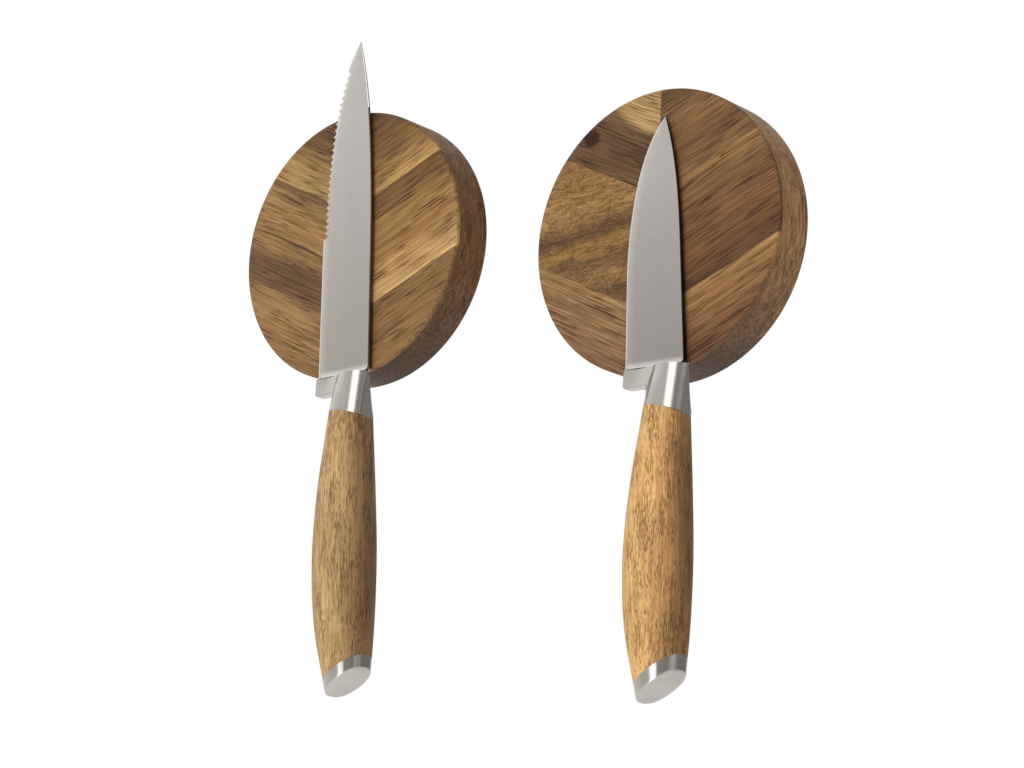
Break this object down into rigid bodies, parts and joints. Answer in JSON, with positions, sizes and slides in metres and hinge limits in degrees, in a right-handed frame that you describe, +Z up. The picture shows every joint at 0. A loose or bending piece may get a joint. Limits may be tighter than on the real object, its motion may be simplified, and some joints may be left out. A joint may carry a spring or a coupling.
{
  "type": "pair of magnetic knife holders with knives",
  "caption": "Round wooden wall holders with hidden magnets, each carrying a kitchen knife flat on its laminated face.",
  "frame": {"origin": "centre of the left holder's mounting pad, on the wall", "axes": "+Z up, the wall is the plane Y = 0, the knives face -Y, +X towards the right holder"},
  "size_m": [0.2363, 0.0292, 0.2491],
  "materials": {
    "core_wood": "oiled acacia, dark brown",
    "dark_stave": "oiled acacia heartwood",
    "light_stave": "oiled acacia, golden",
    "handle_wood": "satin light brown acacia",
    "blade_steel": "satin stainless steel",
    "polished_steel": "polished stainless steel",
    "zinc_steel": "zinc-plated steel",
    "magnet_ceramic": "dark sintered ferrite",
    "pad_foam": "closed-cell adhesive foam"
  },
  "bodies": {
    "holders": {"left_back_plate": "zinc_steel", "left_disc_core": "core_wood", "left_lower_left_stave": "light_stave", "left_lower_right_stave": "light_stave", "left_magnet_bottom": "magnet_ceramic", "left_magnet_centre": "magnet_ceramic", "left_magnet_left": "magnet_ceramic", "left_magnet_right": "magnet_ceramic", "left_magnet_top": "magnet_ceramic", "left_middle_left_stave": "dark_stave", "left_middle_right_stave": "dark_stave", "left_mounting_pad": "pad_foam", "left_plate_screw_1": "zinc_steel", "left_plate_screw_2": "zinc_steel", "left_plate_screw_3": "zinc_steel", "left_plate_screw_4": "zinc_steel", "left_upper_left_stave": "light_stave", "left_upper_right_stave": "light_stave", "right_back_plate": "zinc_steel", "right_disc_core": "core_wood", "right_lower_left_stave": "light_stave", "right_lower_right_stave": "light_stave", "right_magnet_bottom": "magnet_ceramic", "right_magnet_centre": "magnet_ceramic", "right_magnet_left": "magnet_ceramic", "right_magnet_right": "magnet_ceramic", "right_magnet_top": "magnet_ceramic", "right_middle_left_stave": "dark_stave", "right_middle_right_stave": "dark_stave", "right_mounting_pad": "pad_foam", "right_plate_screw_1": "zinc_steel", "right_plate_screw_2": "zinc_steel", "right_plate_screw_3": "zinc_steel", "right_plate_screw_4": "zinc_steel", "right_upper_left_stave": "light_stave", "right_upper_right_stave": "light_stave"},
    "serrated_knife": {"serrated_blade": "blade_steel", "serrated_bolster": "polished_steel", "serrated_end_cap": "polished_steel", "serrated_handle": "handle_wood"},
    "paring_knife": {"paring_blade": "blade_steel", "paring_bolster": "polished_steel", "paring_end_cap": "polished_steel", "paring_handle": "handle_wood"}
  },
  "joints": [
    {"name": "serrated_knife_lift", "type": "slide", "parent": "holders", "child": "serrated_knife", "axis": [0, -1, 0], "range_m": [0, 0.12]},
    {"name": "paring_knife_lift", "type": "slide", "parent": "holders", "child": "paring_knife", "axis": [0, -1, 0], "range_m": [0, 0.12]}
  ]
}
